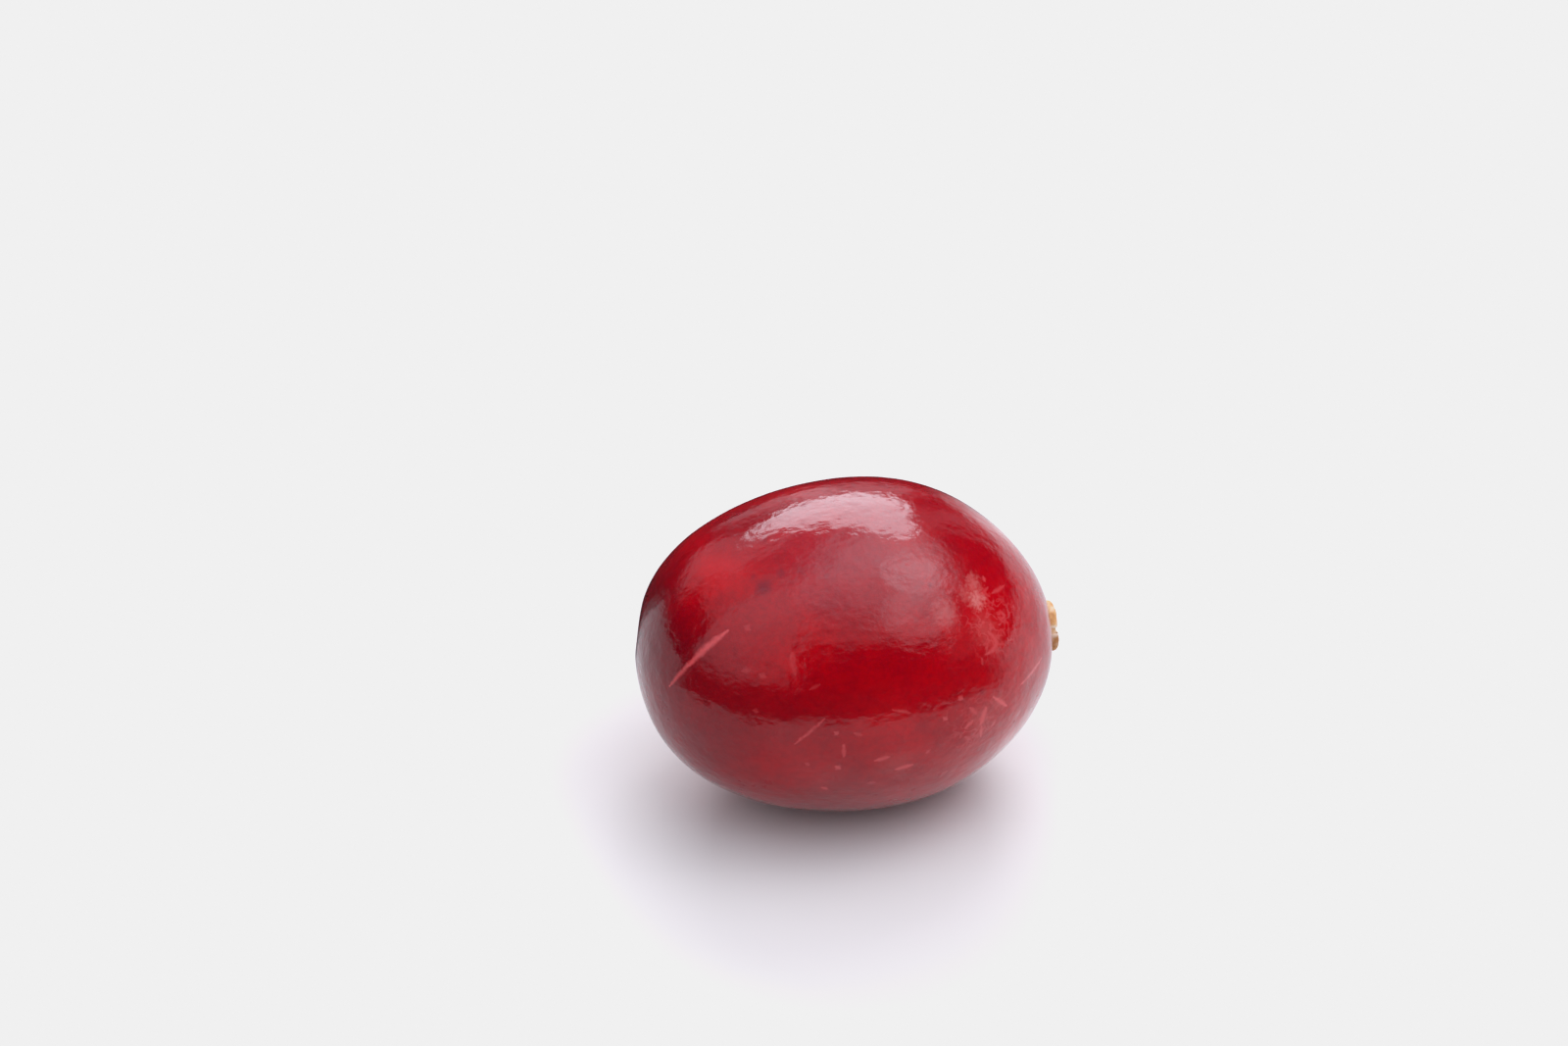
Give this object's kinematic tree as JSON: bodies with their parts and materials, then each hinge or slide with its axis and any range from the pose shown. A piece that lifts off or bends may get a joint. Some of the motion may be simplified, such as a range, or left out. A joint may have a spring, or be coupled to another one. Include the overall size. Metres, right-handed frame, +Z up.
{
  "type": "cranberry",
  "caption": "Plump oval red cranberry lying on its side on a small flat spot, with a dried calyx at one end and a stalk dimple at the other.",
  "frame": {"origin": "under the middle of the part's box, on the surface that the flat spot rests on", "axes": "+X along the berry to its calyx end, +Z up, away from the surface it rests on"},
  "size_m": [0.0208, 0.0164, 0.0162],
  "materials": {
    "cranberry_skin": "waxy, glossy fruit skin, deep red with pale scratches and flecks",
    "dried_calyx": "dry, matt, tan plant tissue"
  },
  "bodies": {
    "root": {"berry": "cranberry_skin", "calyx": "dried_calyx"}
  },
  "joints": []
}
